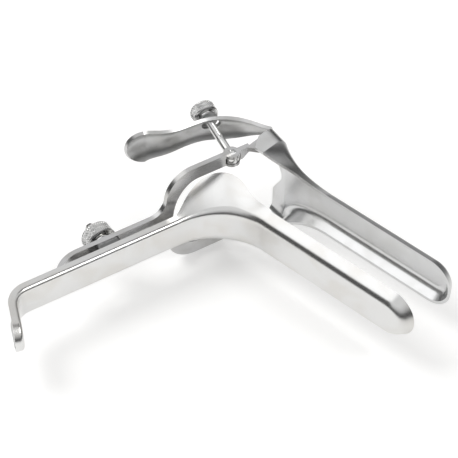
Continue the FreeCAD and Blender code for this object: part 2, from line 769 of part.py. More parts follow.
BACK = Vector(-1, 0, 0)
wall = size("sheet_wall")
clear = size("running_clearance")
stud_radius = size("stud_diameter") / 2
stud_length = -size("stud_end")
stop_thickness = size("stud_stop_thickness")
end_bevel = size("end_bevel")
handle_stud = turned("handle_stud", Vector(0, 0, 0), BACK, [
    (0, wall), (stud_radius, wall), (stud_radius, stud_length), (0, stud_length)])

guide_block = new_body("guide_block")
block = new_sketch(guide_block, "block_outline", facing_back(-wall))
half_length, half_width = size("guide_length") / 2, size("guide_width") / 2
draw_outline(block, round_corners([Vector(-half_width, -half_length, 0), Vector(half_width, -half_length, 0),
                                   Vector(half_width, half_length, 0), Vector(-half_width, half_length, 0)],
                                  [size("guide_corner")] * 4))
pad(guide_block, block, "block", -yoke_face - wall - clear, "-Sizes.yoke_face - Sizes.sheet_wall - Sizes.running_clearance")
bore(guide_block, Vector(0, 0, 0), BACK, -yoke_face, stud_radius, "Sizes.stud_diameter / 2")

washer_at = yoke_back - clear
washer_radius = size("washer_diameter") / 2
washer_thickness = size("washer_thickness")
lock_washer = turned("lock_washer", Vector(washer_at, 0, 0), BACK, [
    (stud_radius + clear, 0), (washer_radius, 0), (washer_radius, washer_thickness), (stud_radius + clear, washer_thickness)])

knob_at = washer_at - washer_thickness - clear
lock_knob = knurled("lock_knob", Vector(knob_at, 0, 0), BACK, size("knob_hub_diameter") / 2, size("knob_hub_height"),
                    size("knob_diameter") / 2, size("knob_height"))
bore(lock_knob, Vector(knob_at, 0, 0), BACK, stud_length, stud_radius + clear, "Sizes.stud_diameter / 2 + Sizes.running_clearance")
stud_stop = turned("stud_stop", Vector(-stud_length + stop_thickness, 0, 0), BACK, [
    (stud_radius, 0), (size("stud_stop_diameter") / 2, 0), (size("stud_stop_diameter") / 2 - end_bevel, stop_thickness),
    (stud_radius, stop_thickness)])

# Hinge rivets: a head inside each paddle, a shank through paddle and ear.

rivet_radius = size("hinge_rivet_diameter") / 2
head_radius = size("hinge_head_diameter") / 2
head_height = size("hinge_head_height")
shank_end = size("ear_inside") + wall - paddle_in + clear
solids = []
for direction in (SIDE, SIDE * -1):
    start = hinge.add(direction * (paddle_in - clear))
    shank = Part.makeCylinder(rivet_radius, shank_end, start, direction)
    head = Part.makeCylinder(head_radius, head_height, start, direction * -1)
    solids.append(shank.fuse(head).removeSplitter())
hinge_rivets = doc.addObject("Part::Feature", "hinge_rivets")
hinge_rivets.Label = "hinge_rivets"
hinge_rivets.Shape = Part.makeCompound([solid.Solids[0] for solid in solids])

# Adjusting rod with its eye on the swivel pin, and the nut that pulls the lever in.

rod_turn = math.radians(size("rod_angle"))
rod_axis = Vector(math.cos(rod_turn), math.sin(rod_turn), 0)
rod_start = pivot.add(SIDE * rod_height)
rod_radius = size("rod_diameter") / 2
rod_length = size("rod_length")
adjusting_rod = new_body("adjusting_rod")
eye = new_sketch(adjusting_rod, "eye_outline", flat_place(rod_height))
draw_circle(eye, "radius", size("rod_eye_diameter") / 2, "Sizes.rod_eye_diameter / 2", pivot)
pad(adjusting_rod, eye, "eye", size("rod_eye_thickness"), "Sizes.rod_eye_thickness", midplane=True)
neck_radius = size("rod_neck_radius")
neck_end = size("rod_neck_length")
turned("adjusting_rod", rod_start, rod_axis, [
    (0, 0), (neck_radius, 0), (neck_radius, neck_end), (rod_radius, neck_end + 2 * (rod_radius - neck_radius)),
    (rod_radius, rod_length - end_bevel), (rod_radius - end_bevel, rod_length), (0, rod_length)], adjusting_rod, "rod")
eye_bore = new_sketch(adjusting_rod, "eye_bore_outline", flat_place(rod_height))
draw_circle(eye_bore, "radius", size("swivel_pin_diameter") / 2 + clear,
            "Sizes.swivel_pin_diameter / 2 + Sizes.running_clearance", pivot)
pocket(adjusting_rod, eye_bore, "eye_bore", 2 * size("rod_eye_thickness"), midplane=True)

swivel_pin = new_body("swivel_pin")
pin = new_sketch(swivel_pin, "pin_outline", flat_place(rod_height))
draw_circle(pin, "radius", size("swivel_pin_diameter") / 2, "Sizes.swivel_pin_diameter / 2", pivot)
pad(swivel_pin, pin, "pin", 2 * (eye_half + size("cheek_thickness")),
    "Sizes.rod_eye_thickness + 2 * Sizes.running_clearance + 2 * Sizes.cheek_thickness", midplane=True)

collar_at = size("nut_seat")
adjusting_washer = turned("adjusting_washer", rod_start.add(rod_axis * collar_at), rod_axis, [
    (rod_radius + clear, 0), (size("nut_washer_diameter") / 2, 0), (size("nut_washer_diameter") / 2, washer_thickness),
    (rod_radius + clear, washer_thickness)])
nut_at = collar_at + washer_thickness + clear
adjusting_nut = knurled("adjusting_nut", rod_start.add(rod_axis * nut_at), rod_axis, size("nut_hub_diameter") / 2,
                        size("nut_hub_height"), size("nut_diameter") / 2, size("nut_height"))
bore(adjusting_nut, rod_start.add(rod_axis * nut_at), rod_axis, rod_length, rod_radius + clear,
     "Sizes.rod_diameter / 2 + Sizes.running_clearance")

# Thumb lever: a dished strip from the near ear, over the adjusting rod and down to the thumb pad.


def dish_arcs(half, depth):
    """The arcs' middle, its height, the outer and inner radius and the half angle of a dished strip."""
    outer = (half * half + depth * depth) / (2 * depth)
    return Vector(0, outer, 0), outer, outer - size("lever_wall"), math.asin(half / outer)


def dish_sketch(body, name, place, half, depth):
    """One station of a dished strip: two arcs about the same middle and the two rims between them."""
    sketch = new_sketch(body, name, place)
    middle, outer, inner, spread = dish_arcs(half, depth)
    down = -math.pi / 2
    ends = [middle.add(Vector(side * math.sin(spread), -math.cos(spread), 0) * radius)
            for side, radius in ((1, outer), (1, inner), (-1, inner), (-1, outer))]
    draw_outline(sketch, [
        Part.ArcOfCircle(Part.Circle(middle, SIDE, outer), down - spread, down + spread),
        LINE(ends[0], ends[1]),
        Part.ArcOfCircle(Part.Circle(middle, SIDE, inner), down - spread, down + spread),
        LINE(ends[2], ends[3]),
    ])
    return sketch


def half_dish(half, depth):
    """The right half of a dished strip, closed along its middle."""
    middle, outer, inner, spread = dish_arcs(half, depth)
    down = -math.pi / 2
    out_end, in_end = (middle.add(Vector(math.sin(spread), -math.cos(spread), 0) * radius) for radius in (outer, inner))
    thick = size("lever_wall")
    return [
        Part.ArcOfCircle(Part.Circle(middle, SIDE, outer), down, down + spread),
        LINE(out_end, in_end),
        Part.ArcOfCircle(Part.Circle(middle, SIDE, inner), down, down + spread),
        LINE(Vector(0, thick, 0), Vector(0, 0, 0)),
    ]


thumb_lever = new_body("thumb_lever")
lever_side = size("lever_outer_side")
lever_root = on_side(ear_rear, crown + crown_rise - size("lever_root_drop"))
LEVER = (
    # x, y, heading, width
    (lever_root.x, lever_root.y, 180.0 + size("blade_slope"), 5.2),
    (-19.0, 82.4, 200.0, 7.4),
    (-26.2, 78.3, 217.0, 11.4),
    (-31.6, 72.6, 236.0, 13.2),
    (-35.0, 64.5, 256.0, 12.8),
    (-36.0, 52.0, 267.0, 12.2),
    (-38.2, 44.6, 256.0, 14.2),
    (-42.0, 37.6, 250.0, 17.4),
)
lever_stations = []
for x, y, heading, width in LEVER:
    wider = max(0.0, width / size("lever_width") - 1.0)
    middle = lever_side + size("pad_overhang") * wider - width / 2
    lever_stations.append((channel_place(x, y, heading, middle), width / 2, size("lever_dish") * width / size("lever_width")))
loft(thumb_lever, "lever_strip",
     [dish_sketch(thumb_lever, f"lever_{index:02d}", *station) for index, station in enumerate(lever_stations)])
pad_place, pad_half, pad_depth = lever_stations[-1]
spoon_end(thumb_lever, "lever_tip", pad_place, half_dish(pad_half, pad_depth))
rod_hole = new_sketch(thumb_lever, "rod_hole_outline",
                      axes_at(rod_start, rod_axis.cross(SIDE), SIDE))
hole_half = size("lever_hole_width") / 2
hole_reach = (size("lever_hole_length") - size("lever_hole_width")) / 2
draw_outline(rod_hole, [
    LINE(Vector(-hole_reach, -hole_half, 0), Vector(hole_reach, -hole_half, 0)),
    Part.Arc(Vector(hole_reach, -hole_half, 0), Vector(hole_reach + hole_half, 0, 0), Vector(hole_reach, hole_half, 0)),
    LINE(Vector(hole_reach, hole_half, 0), Vector(-hole_reach, hole_half, 0)),
    Part.Arc(Vector(-hole_reach, hole_half, 0), Vector(-hole_reach - hole_half, 0, 0), Vector(-hole_reach, -hole_half, 0)),
])
pocket(thumb_lever, rod_hole, "rod_hole", 2 * rod_length, midplane=True)

pieces = [lower_blade, upper_blade, thumb_lever, yoke_frame, hinge_rivets, handle_stud, guide_block, lock_washer,
          lock_knob, stud_stop, adjusting_rod, swivel_pin, adjusting_washer, adjusting_nut]
doc.recompute()
for item in doc.Objects:
    if {"Invalid", "Error"} & set(item.State):
        raise RuntimeError(f"{item.Label} did not build")
for piece in pieces:
    if piece.Shape.isNull() or not piece.Shape.isValid() or not piece.Shape.Solids:
        raise RuntimeError(f"{piece.Label} has no valid solid")

os.makedirs("parts", exist_ok=True)
for piece in pieces:
    piece.Shape.exportStep(os.path.join("parts", f"{piece.Label}.step"))
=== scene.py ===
"""Bivalve speculum of sheet steel, lying on its side on a pale studio floor."""

import json
import logging
import math
from dataclasses import dataclass, field
from enum import Enum
from typing import Sequence

import bmesh
import bpy
from mathutils import Matrix, Vector

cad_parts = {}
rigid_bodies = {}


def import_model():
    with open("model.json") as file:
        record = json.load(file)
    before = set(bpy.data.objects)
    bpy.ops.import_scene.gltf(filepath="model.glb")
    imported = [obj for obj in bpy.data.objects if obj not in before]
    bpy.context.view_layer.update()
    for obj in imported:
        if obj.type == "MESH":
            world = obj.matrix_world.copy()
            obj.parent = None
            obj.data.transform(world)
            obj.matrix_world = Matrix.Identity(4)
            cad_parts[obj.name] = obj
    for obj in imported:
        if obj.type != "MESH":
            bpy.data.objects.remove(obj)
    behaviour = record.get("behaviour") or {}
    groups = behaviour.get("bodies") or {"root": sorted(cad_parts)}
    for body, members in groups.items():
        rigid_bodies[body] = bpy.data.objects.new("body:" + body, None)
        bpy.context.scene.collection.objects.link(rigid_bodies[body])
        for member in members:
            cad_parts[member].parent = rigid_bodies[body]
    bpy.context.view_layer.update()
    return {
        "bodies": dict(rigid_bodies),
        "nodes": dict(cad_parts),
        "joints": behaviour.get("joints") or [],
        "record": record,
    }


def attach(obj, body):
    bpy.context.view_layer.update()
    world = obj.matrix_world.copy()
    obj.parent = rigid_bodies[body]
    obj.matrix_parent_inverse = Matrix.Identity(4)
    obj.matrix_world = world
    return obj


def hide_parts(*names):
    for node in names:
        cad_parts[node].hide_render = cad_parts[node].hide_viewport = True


logging.basicConfig(level=logging.INFO, format="%(name)s: %(message)s")
log = logging.getLogger("speculum")

Colour = tuple[float, float, float]
Profile = list[tuple[float, float, float]]
PHOTO_PIXELS = 458
MM = 0.001
CREASE_ANGLE = 32.0
FADE_RATE = 10
THREAD_SIDES = 48
RINGS_PER_TURN = 10
THREAD_RELIEF = 0.05 * MM


class Grain(Enum):
    """How the scratches of a finish run, as the stretch of their pattern on X, Y and Z."""

    ALONG_BLADES = (0.04, 1.0, 1.0)
    ALONG_HANDLE = (1.0, 0.04, 1.0)
    ALONG_SIDE = (1.0, 1.0, 0.05)
    ALL_WAYS = (1.0, 1.0, 1.0)


class Ridge(Enum):
    """What a turned surface is cut with."""

    THREAD = 0.0
    DIAMOND_KNURL = 1.0


class ShaderGroups:
    """The shader node groups that the finishes share, each built once."""

    def __init__(self) -> None:
        """Builds the groups."""
        self.brushed = self._brushed()
        self.smudged = self._smudged()
        self.pitted = self._pitted()

    @staticmethod
    def _new(name: str, inputs: Sequence[tuple[str, str, object]], outputs: Sequence[tuple[str, str]]):
        """Starts a group with named sockets.

        Args:
            name: The group's name.
            inputs: Each input's name, socket type and starting value.
            outputs: Each output's name and socket type.

        Returns:
            The tree, its input node and its output node.
        """
        tree = bpy.data.node_groups.new(name, "ShaderNodeTree")
        for label, kind, value in inputs:
            socket = tree.interface.new_socket(label, in_out="INPUT", socket_type=kind)
            if value is not None:
                socket.default_value = value
        for label, kind in outputs:
            tree.interface.new_socket(label, in_out="OUTPUT", socket_type=kind)
        return tree, tree.nodes.new("NodeGroupInput"), tree.nodes.new("NodeGroupOutput")

    def _brushed(self) -> bpy.types.NodeTree:
        """Fine scratches, long in the direction that the stretch makes short.

        Returns:
            The group's tree.
        """
        tree, given, result = self._new(
            "brushed scratches",
            [("Place", "NodeSocketVector", None), ("Stretch", "NodeSocketVector", (1.0, 1.0, 1.0)),
             ("Scratches per Metre", "NodeSocketFloat", 2500.0)],
            [("Mask", "NodeSocketFloat")])
        stretched = tree.nodes.new("ShaderNodeVectorMath")
        stretched.operation = "MULTIPLY"
        tree.links.new(given.outputs["Place"], stretched.inputs[0])
        tree.links.new(given.outputs["Stretch"], stretched.inputs[1])
        noise = tree.nodes.new("ShaderNodeTexNoise")
        noise.inputs["Detail"].default_value = 3.0
        noise.inputs["Roughness"].default_value = 0.6
        tree.links.new(stretched.outputs["Vector"], noise.inputs["Vector"])
        tree.links.new(given.outputs["Scratches per Metre"], noise.inputs["Scale"])
        tree.links.new(noise.outputs["Fac"], result.inputs["Mask"])
        return tree

    def _smudged(self) -> bpy.types.NodeTree:
        """Broad, soft changes of tone, as handling and polishing leave on steel.

        Returns:
            The group's tree.
        """
        tree, given, result = self._new(
            "handling smudges",
            [("Place", "NodeSocketVector", None), ("Spots per Metre", "NodeSocketFloat", 60.0)],
            [("Mask", "NodeSocketFloat")])
        noise = tree.nodes.new("ShaderNodeTexNoise")
        noise.inputs["Detail"].default_value = 2.0
        noise.inputs["Distortion"].default_value = 0.6
        tree.links.new(given.outputs["Place"], noise.inputs["Vector"])
        tree.links.new(given.outputs["Spots per Metre"], noise.inputs["Scale"])
        soft = tree.nodes.new("ShaderNodeMapRange")
        soft.interpolation_type = "SMOOTHSTEP"
        soft.inputs["From Min"].default_value = 0.40
        soft.inputs["From Max"].default_value = 0.66
        tree.links.new(noise.outputs["Fac"], soft.inputs["Value"])
        tree.links.new(soft.outputs["Result"], result.inputs["Mask"])
        return tree

    def _pitted(self) -> bpy.types.NodeTree:
        """Small scattered pits, as wear leaves on a polished face.

        Returns:
            The group's tree.
        """
        tree, given, result = self._new(
            "worn pits",
            [("Place", "NodeSocketVector", None), ("Pits per Metre", "NodeSocketFloat", 500.0),
             ("Share", "NodeSocketFloat", 0.12)],
            [("Mask", "NodeSocketFloat")])
        cells = tree.nodes.new("ShaderNodeTexVoronoi")
        tree.links.new(given.outputs["Place"], cells.inputs["Vector"])
        tree.links.new(given.outputs["Pits per Metre"], cells.inputs["Scale"])
        pit = tree.nodes.new("ShaderNodeMapRange")
        pit.interpolation_type = "SMOOTHSTEP"
        pit.inputs["From Min"].default_value = 0.0
        pit.inputs["To Min"].default_value = 1.0
        pit.inputs["To Max"].default_value = 0.0
        tree.links.new(cells.outputs["Distance"], pit.inputs["Value"])
        tree.links.new(given.outputs["Share"], pit.inputs["From Max"])
        tree.links.new(pit.outputs["Result"], result.inputs["Mask"])
        return tree


@dataclass(frozen=True)
class SteelFinish:
    """One finish of stainless steel: its colour, its gloss and the marks on it."""

    name: str
    colour: Colour
    smudge_colour: Colour
    roughness: float
    roughness_change: float
    grain: Grain
    grain_per_metre: float
    grain_depth: float
    spots_per_metre: float = 60.0
    pits_per_metre: float = 420.0
    pit_share: float = 0.10
    pit_colour: Colour = (0.30, 0.295, 0.28)
    pit_strength: float = 0.5
    mark_strength: float = 0.3

    def material(self, groups: ShaderGroups) -> bpy.types.Material:
        """Builds the finish as a material.

        Args:
            groups: The shader groups that the finish draws on.

        Returns:
            The new material.
        """
        material = bpy.data.materials.new(self.name)
        material.use_nodes = True
        nodes, links = material.node_tree.nodes, material.node_tree.links
        nodes.clear()
        output = nodes.new("ShaderNodeOutputMaterial")
        steel = nodes.new("ShaderNodeBsdfPrincipled")
        steel.inputs["Metallic"].default_value = 1.0
        links.new(steel.outputs["BSDF"], output.inputs["Surface"])
        place = nodes.new("ShaderNodeTexCoord")
        scratches = nodes.new("ShaderNodeGroup")
        scratches.node_tree = groups.brushed
        scratches.inputs["Stretch"].default_value = self.grain.value
        scratches.inputs["Scratches per Metre"].default_value = self.grain_per_metre
        smudges = nodes.new("ShaderNodeGroup")
        smudges.node_tree = groups.smudged
        smudges.inputs["Spots per Metre"].default_value = self.spots_per_metre
        pits = nodes.new("ShaderNodeGroup")
        pits.node_tree = groups.pitted
        pits.inputs["Pits per Metre"].default_value = self.pits_per_metre
        pits.inputs["Share"].default_value = self.pit_share
        for group in (scratches, smudges, pits):
            links.new(place.outputs["Object"], group.inputs["Place"])
        tint = nodes.new("ShaderNodeMix")
        tint.data_type = "RGBA"
        tint.inputs["A"].default_value = (*self.colour, 1.0)
        tint.inputs["B"].default_value = (*self.smudge_colour, 1.0)
        links.new(smudges.outputs["Mask"], tint.inputs["Factor"])
        worn = nodes.new("ShaderNodeMix")
        worn.data_type = "RGBA"
        worn.inputs["B"].default_value = (*self.pit_colour, 1.0)
        links.new(tint.outputs["Result"], worn.inputs["A"])
        faint = nodes.new("ShaderNodeMath")
        faint.operation = "MULTIPLY"
        faint.inputs[1].default_value = self.pit_strength
        links.new(pits.outputs["Mask"], faint.inputs[0])
        links.new(faint.outputs["Value"], worn.inputs["Factor"])
        links.new(worn.outputs["Result"], steel.inputs["Base Color"])
        gloss = nodes.new("ShaderNodeMath")
        gloss.operation = "MULTIPLY_ADD"
        gloss.inputs[1].default_value = self.roughness_change
        gloss.inputs[2].default_value = self.roughness
        links.new(scratches.outputs["Mask"], gloss.inputs[0])
        links.new(gloss.outputs["Value"], steel.inputs["Roughness"])
        surface = nodes.new("ShaderNodeMath")
        surface.operation = "SUBTRACT"
        links.new(scratches.outputs["Mask"], surface.inputs[0])
        links.new(faint.outputs["Value"], surface.inputs[1])
        bump = nodes.new("ShaderNodeBump")
        bump.inputs["Strength"].default_value = self.mark_strength
        bump.inputs["Distance"].default_value = self.grain_depth
        links.new(surface.outputs["Value"], bump.inputs["Height"])
        links.new(bump.outputs["Normal"], steel.inputs["Normal"])
        return material


PRESSED = SteelFinish(
    "satin pressed sheet", colour=(0.73, 0.73, 0.725), smudge_colour=(0.69, 0.68, 0.66), roughness=0.19,
    roughness_change=0.08, grain=Grain.ALONG_BLADES, grain_per_metre=2600.0, grain_depth=0.012 * MM)
EARED = SteelFinish(
    "satin upper sheet", colour=(0.72, 0.722, 0.725), smudge_colour=(0.66, 0.66, 0.655), roughness=0.20,
    roughness_change=0.09, grain=Grain.ALONG_BLADES, grain_per_metre=2400.0, grain_depth=0.012 * MM)
LEVER = SteelFinish(
    "rubbed lever steel", colour=(0.60, 0.60, 0.60), smudge_colour=(0.53, 0.53, 0.52), roughness=0.24,
    roughness_change=0.12, grain=Grain.ALL_WAYS, grain_per_metre=1800.0, grain_depth=0.016 * MM,
    spots_per_metre=90.0)
PLATE = SteelFinish(
    "frame plate steel", colour=(0.62, 0.62, 0.625), smudge_colour=(0.54, 0.535, 0.525), roughness=0.20,
    roughness_change=0.10, grain=Grain.ALONG_HANDLE, grain_per_metre=2200.0, grain_depth=0.016 * MM)
# The guide block sits in the shaded gap between the frame and the handle; its near-black colour is painted
# shade, not a darker steel
BLOCK_PAINTED_SHADE = SteelFinish(
    "block steel with painted shade", colour=(0.22, 0.22, 0.22), smudge_colour=(0.16, 0.16, 0.155), roughness=0.34,
    roughness_change=0.12, grain=Grain.ALONG_SIDE, grain_per_metre=1600.0, grain_depth=0.03 * MM)
TURNED = SteelFinish(
    "turned bright steel", colour=(0.76, 0.76, 0.755), smudge_colour=(0.70, 0.695, 0.68), roughness=0.10,
    roughness_change=0.06, grain=Grain.ALL_WAYS, grain_per_metre=3000.0, grain_depth=0.008 * MM,
    pit_share=0.05)
WASHER = SteelFinish(
    "dull washer steel", colour=(0.40, 0.40, 0.40), smudge_colour=(0.32, 0.32, 0.315), roughness=0.28,
    roughness_change=0.12, grain=Grain.ALL_WAYS, grain_per_metre=2400.0, grain_depth=0.016 * MM)


@dataclass
class Paintbox:
    """Every finish as a material, built once for all pieces."""

    groups: ShaderGroups
    materials: dict[str, bpy.types.Material] = field(default_factory=dict)

    def of(self, finish: SteelFinish) -> bpy.types.Material:
        """The material of a finish."""
        if finish.name not in self.materials:
            self.materials[finish.name] = finish.material(self.groups)
        return self.materials[finish.name]

    def dress(self, frame: dict, finish: SteelFinish, *nodes: str) -> None:
        """Gives CAD nodes a finish.

        Args:
            finish: The finish to put on.
            nodes: The names of the nodes.
        """
        for name in nodes:
            mesh = frame["nodes"][name].data
            mesh.materials.clear()
            mesh.materials.append(self.of(finish))
            log.info("%s: %s", name, finish.name)


class RidgeCutter:
    """A Geometry Nodes tree that cuts a thread or a diamond knurl into a surface turned about Z."""

    def __init__(self) -> None:
        """Builds the tree."""
        tree = bpy.data.node_groups.new("cut ridges", "GeometryNodeTree")
        self.tree = tree
        self.sockets: dict[str, str] = {}
        for label, kind in (("Geometry", "NodeSocketGeometry"), ("Starts", "NodeSocketFloat"),
                            ("Pitch", "NodeSocketFloat"), ("Depth", "NodeSocketFloat"),
                            ("Crossed", "NodeSocketFloat"), ("Material", "NodeSocketMaterial")):
            socket = tree.interface.new_socket(label, in_out="INPUT", socket_type=kind)
            self.sockets[label] = socket.identifier
        tree.interface.new_socket("Geometry", in_out="OUTPUT", socket_type="NodeSocketGeometry")
        given, result = tree.nodes.new("NodeGroupInput"), tree.nodes.new("NodeGroupOutput")
        place = tree.nodes.new("ShaderNodeSeparateXYZ")
        position = tree.nodes.new("GeometryNodeInputPosition")
        tree.links.new(position.outputs["Position"], place.inputs["Vector"])
        turn = self._math("ARCTAN2", place.outputs["Y"], place.outputs["X"])
        round_share = self._math("DIVIDE", turn, 2 * math.pi)
        across = self._math("MULTIPLY", round_share, given.outputs["Starts"])
        along = self._math("DIVIDE", place.outputs["Z"], given.outputs["Pitch"])
        right = self._wave(self._math("SUBTRACT", along, across))
        left = self._wave(self._math("ADD", along, across))
        both = self._math("MINIMUM", right, left)
        shift = self._math("MULTIPLY", self._math("SUBTRACT", both, right), given.outputs["Crossed"])
        crest = self._math("ADD", right, shift)
        hollow = self._math("MULTIPLY", self._math("SUBTRACT", 1.0, crest), given.outputs["Depth"])
        marked = tree.nodes.new("GeometryNodeInputNamedAttribute")
        marked.data_type = "FLOAT"
        marked.inputs["Name"].default_value = "ridged"
        cut = self._math("MULTIPLY", hollow, marked.outputs["Attribute"])
        inward = tree.nodes.new("ShaderNodeCombineXYZ")
        for axis, trend in (("X", "COSINE"), ("Y", "SINE")):
            reach = self._math("MULTIPLY", self._math(trend, turn), cut)
            tree.links.new(self._math("MULTIPLY", reach, -1.0), inward.inputs[axis])
        moved = tree.nodes.new("GeometryNodeSetPosition")
        tree.links.new(given.outputs["Geometry"], moved.inputs["Geometry"])
        tree.links.new(inward.outputs["Vector"], moved.inputs["Offset"])
        real = tree.nodes.new("GeometryNodeRealizeInstances")
        painted = tree.nodes.new("GeometryNodeSetMaterial")
        tree.links.new(moved.outputs["Geometry"], real.inputs["Geometry"])
        tree.links.new(real.outputs["Geometry"], painted.inputs["Geometry"])
        tree.links.new(given.outputs["Material"], painted.inputs["Material"])
        tree.links.new(painted.outputs["Geometry"], result.inputs["Geometry"])

    def _math(self, operation: str, first: object, second: object = 0.0) -> bpy.types.NodeSocket:
        """A sum of two values, each a socket or a number.

        Args:
            operation: The Math node's operation.
            first: The first value.
            second: The second value.

        Returns:
            The socket that carries the result.
        """
        node = self.tree.nodes.new("ShaderNodeMath")
        node.operation = operation
        for index, value in enumerate((first, second)):
            if isinstance(value, bpy.types.NodeSocket):
                self.tree.links.new(value, node.inputs[index])
            else:
                node.inputs[index].default_value = value
        return node.outputs["Value"]

    def _wave(self, value: bpy.types.NodeSocket) -> bpy.types.NodeSocket:
        """A triangle wave from 0 to 1 and back over each whole step of a value."""
        return self._math("MULTIPLY", self._math("PINGPONG", value, 0.5), 2.0)

    def cut(self, piece: bpy.types.Object, starts: int, pitch: float, depth: float, ridge: Ridge,
            material: bpy.types.Material) -> None:
        """Cuts the ridges and keeps the result as the piece's plain mesh.

        Args:
            piece: The turned piece, its axis on Z.
            starts: How many ridges run side by side.
            pitch: The height of one ridge, in metres.
            depth: The depth of the hollows, in metres.
            ridge: A thread or a diamond knurl.
            material: The piece's material.
        """
        modifier = piece.modifiers.new("ridges", "NODES")
        modifier.node_group = self.tree
        for label, value in (("Starts", float(starts)), ("Pitch", pitch), ("Depth", depth),
                             ("Crossed", ridge.value), ("Material", material)):
            modifier[self.sockets[label]] = value
        graph = bpy.context.evaluated_depsgraph_get()
        plain = bpy.data.meshes.new_from_object(piece.evaluated_get(graph))
        piece.modifiers.remove(modifier)
        old = piece.data
        piece.data = plain
        bpy.data.meshes.remove(old)


def turned_mesh(name: str, profile: Profile, segments: int, closed: bool) -> bpy.types.Mesh:
    """A mesh turned about Z.

    Args:
        name: The mesh's name.
        profile: Radius, height and the share of ridges at each ring, in metres.
        segments: Faces round the axis.
        closed: Whether the last ring joins the first, as round a bore.

    Returns:
        The new mesh, with its faces outwards.
    """
    build = bmesh.new()
    ridged = build.verts.layers.float.new("ridged")
    rings = []
    for radius, height, share in profile:
        if radius == 0.0:
            tip = build.verts.new((0.0, 0.0, height))
            rings.append([tip])
            continue
        ring = []
        for index in range(segments):
            angle = 2 * math.pi * index / segments
            vertex = build.verts.new((radius * math.cos(angle), radius * math.sin(angle), height))
            vertex[ridged] = share
            ring.append(vertex)
        rings.append(ring)
    pairs = list(zip(rings, rings[1:]))
    if closed:
        pairs.append((rings[-1], rings[0]))
    for low, high in pairs:
        for index in range(segments):
            after = (index + 1) % segments
            if len(low) == 1:
                build.faces.new((low[0], high[after], high[index]))
            elif len(high) == 1:
                build.faces.new((low[index], low[after], high[0]))
            else:
                build.faces.new((low[index], low[after], high[after], high[index]))
    bmesh.ops.recalc_face_normals(build, faces=build.faces)
    mesh = bpy.data.meshes.new(name)
    build.to_mesh(mesh)
    build.free()
    return mesh


def span(start: tuple[float, float], end: tuple[float, float], steps: int, share: float) -> Profile:
    """Rings between two profile points, the ridges fading in and out at its ends.

    Args:
        start: The first radius and height.
        end: The last radius and height.
        steps: How many rings.
        share: The share of ridges in the middle.

    Returns:
        The rings.
    """
    rings = []
    for index in range(steps + 1):
        part = index / steps
        fade = min(1.0, FADE_RATE * part, FADE_RATE * (1 - part))
        radius = start[0] + (end[0] - start[0]) * part
        height = start[1] + (end[1] - start[1]) * part
        rings.append((radius, height, share * fade))
    return rings


def new_piece(name: str, mesh: bpy.types.Mesh) -> bpy.types.Object:
    """A linked object of a mesh."""
    piece = bpy.data.objects.new(name, mesh)
    bpy.context.scene.collection.objects.link(piece)
    return piece


def soften(mesh: bpy.types.Mesh, angle: float = CREASE_ANGLE) -> None:
    """Shades a mesh smooth, with edges sharper than an angle in degrees left crisp."""
    mesh.shade_smooth()
    mesh.set_sharp_from_angle(angle=math.radians(angle))


def axis_matrix(origin: Vector, axis: Vector) -> Matrix:
    """The matrix that takes Z to an axis through an origin."""
    return Matrix.Translation(origin) @ axis.to_track_quat("Z", "Y").to_matrix().to_4x4()


